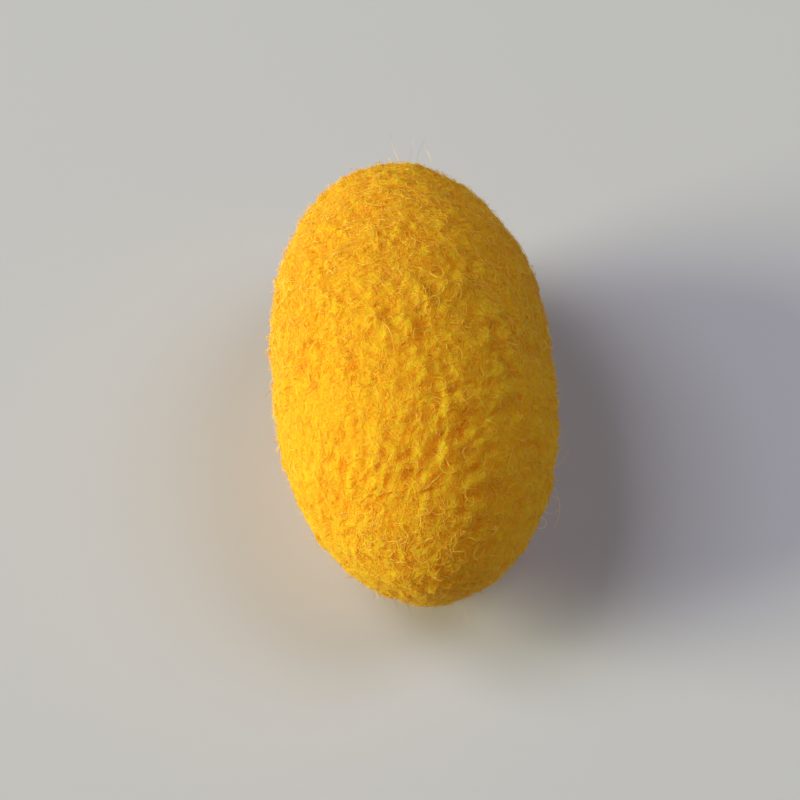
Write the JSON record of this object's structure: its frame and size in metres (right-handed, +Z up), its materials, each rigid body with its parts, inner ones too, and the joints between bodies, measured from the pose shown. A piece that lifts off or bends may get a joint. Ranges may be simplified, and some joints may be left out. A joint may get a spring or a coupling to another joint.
{
  "type": "silk cocoon",
  "caption": "Golden silkworm cocoon: a plump, egg-like case of crinkled, felted silk, lying on its side on a small flat spot.",
  "frame": {"origin": "on the surface that the cocoon rests on, below the middle of its bounding box", "axes": "+Z up, +Y along the cocoon to its far, slightly slimmer end, +X across it"},
  "size_m": [0.0173, 0.032, 0.0171],
  "materials": {
    "silk": "matte"
  },
  "bodies": {
    "root": {"cocoon": "silk"}
  },
  "joints": []
}
